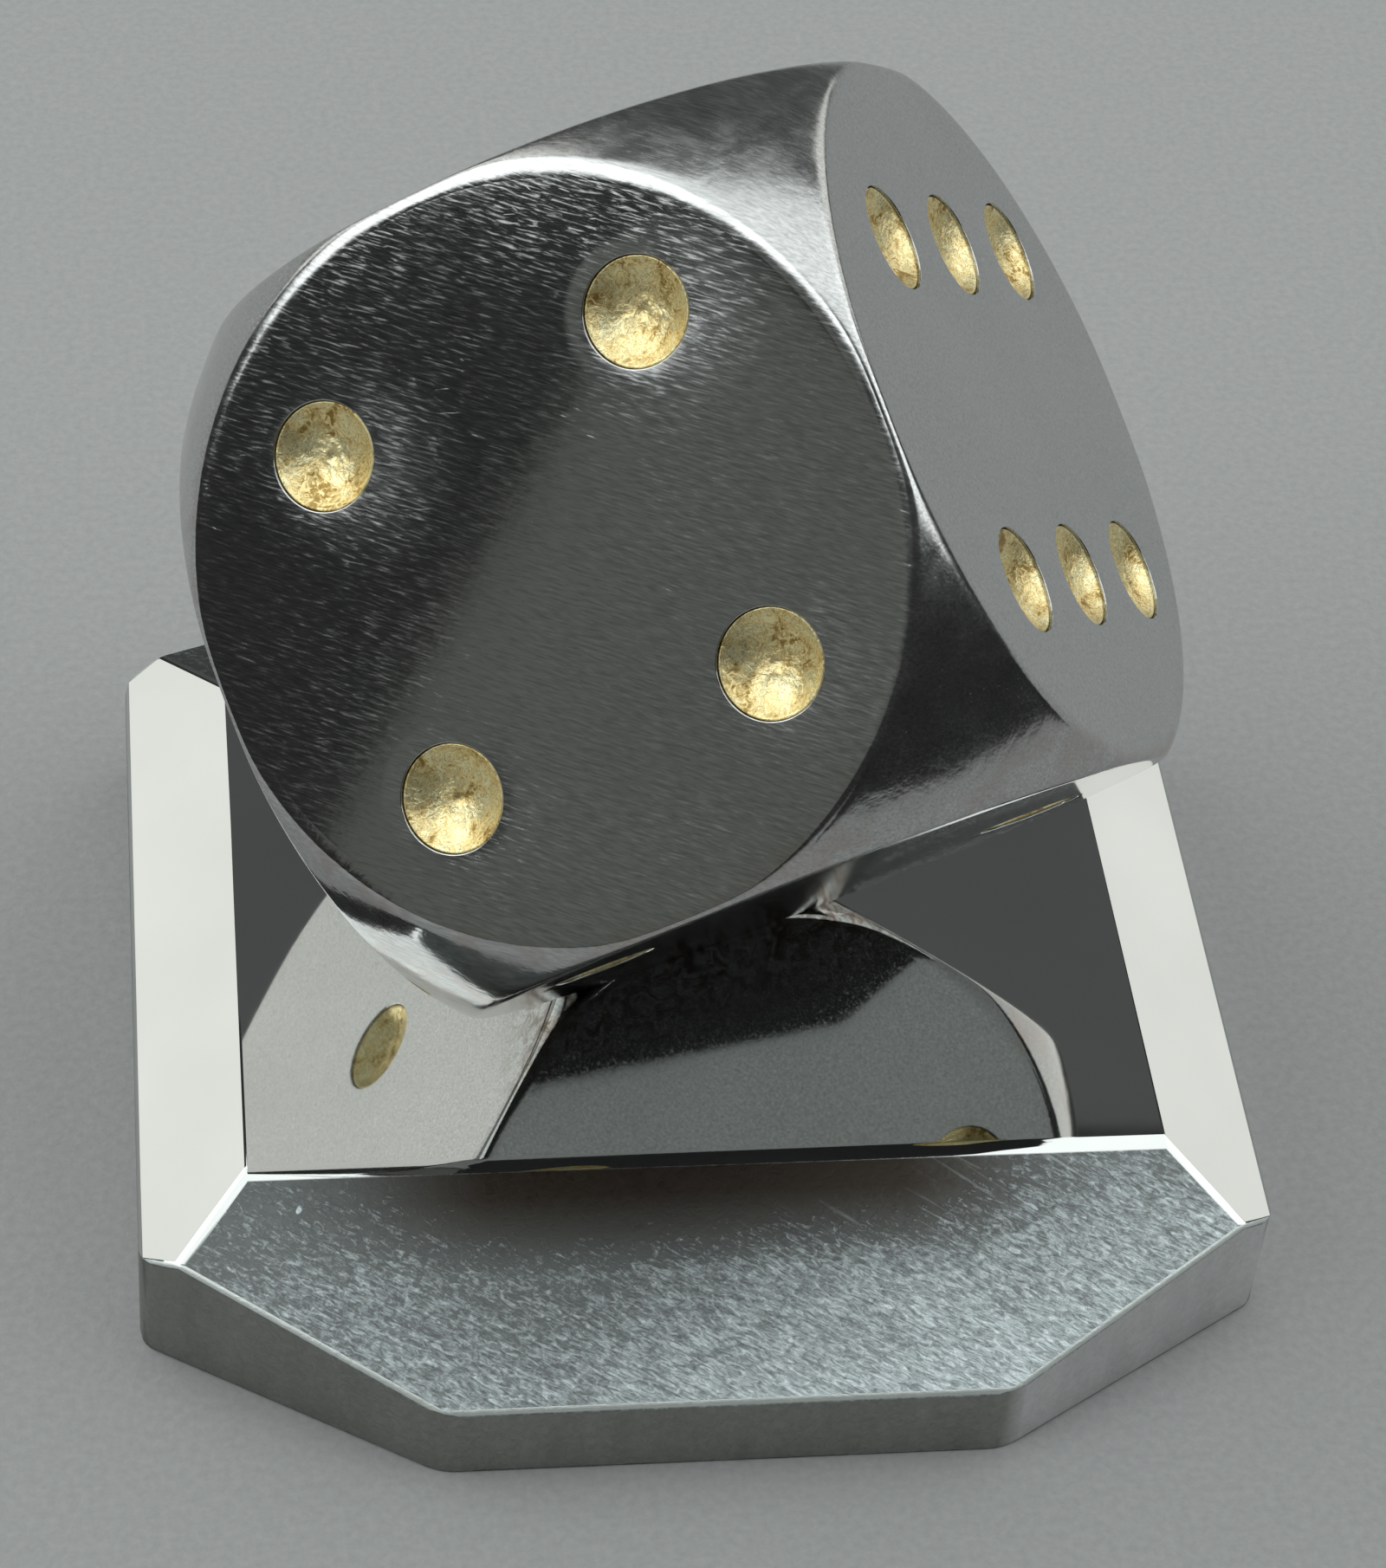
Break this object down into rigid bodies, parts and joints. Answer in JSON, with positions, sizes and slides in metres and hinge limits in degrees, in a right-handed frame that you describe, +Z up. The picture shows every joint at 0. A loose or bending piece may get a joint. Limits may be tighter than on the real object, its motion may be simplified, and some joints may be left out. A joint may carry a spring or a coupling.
{
  "type": "corner-standing die on a base",
  "caption": "Polished metal die with gold pips, standing on one corner and screwed to a bevelled metal base with cut corners and a mirror top.",
  "frame": {"origin": "middle of the base block's underside", "axes": "+Z up, +X to the right along the wide edge of the mirror top, +Y to the back; -Y is the front, with a wide shallow bevel"},
  "size_m": [0.064, 0.0652, 0.066],
  "materials": {
    "base_steel": "mirror-polished top face, satin bevels with fine scratches, duller sides",
    "die_steel": "dark polished steel, finely scratched in one main direction, bright rims",
    "pip_gold": "matt mottled gold with brown tarnish",
    "screw_steel": "black oxide, satin",
    "washer_steel": "plain zinc-plated steel"
  },
  "bodies": {
    "root": {"base_block": "base_steel", "die_body": "die_steel", "pip_one_1": "pip_gold", "pip_two_1": "pip_gold", "pip_two_2": "pip_gold", "pip_three_1": "pip_gold", "pip_three_2": "pip_gold", "pip_three_3": "pip_gold", "pip_four_1": "pip_gold", "pip_four_2": "pip_gold", "pip_four_3": "pip_gold", "pip_four_4": "pip_gold", "pip_five_1": "pip_gold", "pip_five_2": "pip_gold", "pip_five_3": "pip_gold", "pip_five_4": "pip_gold", "pip_five_5": "pip_gold", "pip_six_1": "pip_gold", "pip_six_2": "pip_gold", "pip_six_3": "pip_gold", "pip_six_4": "pip_gold", "pip_six_5": "pip_gold", "pip_six_6": "pip_gold", "fixing_screw": "screw_steel", "screw_washer": "washer_steel"}
  },
  "joints": []
}
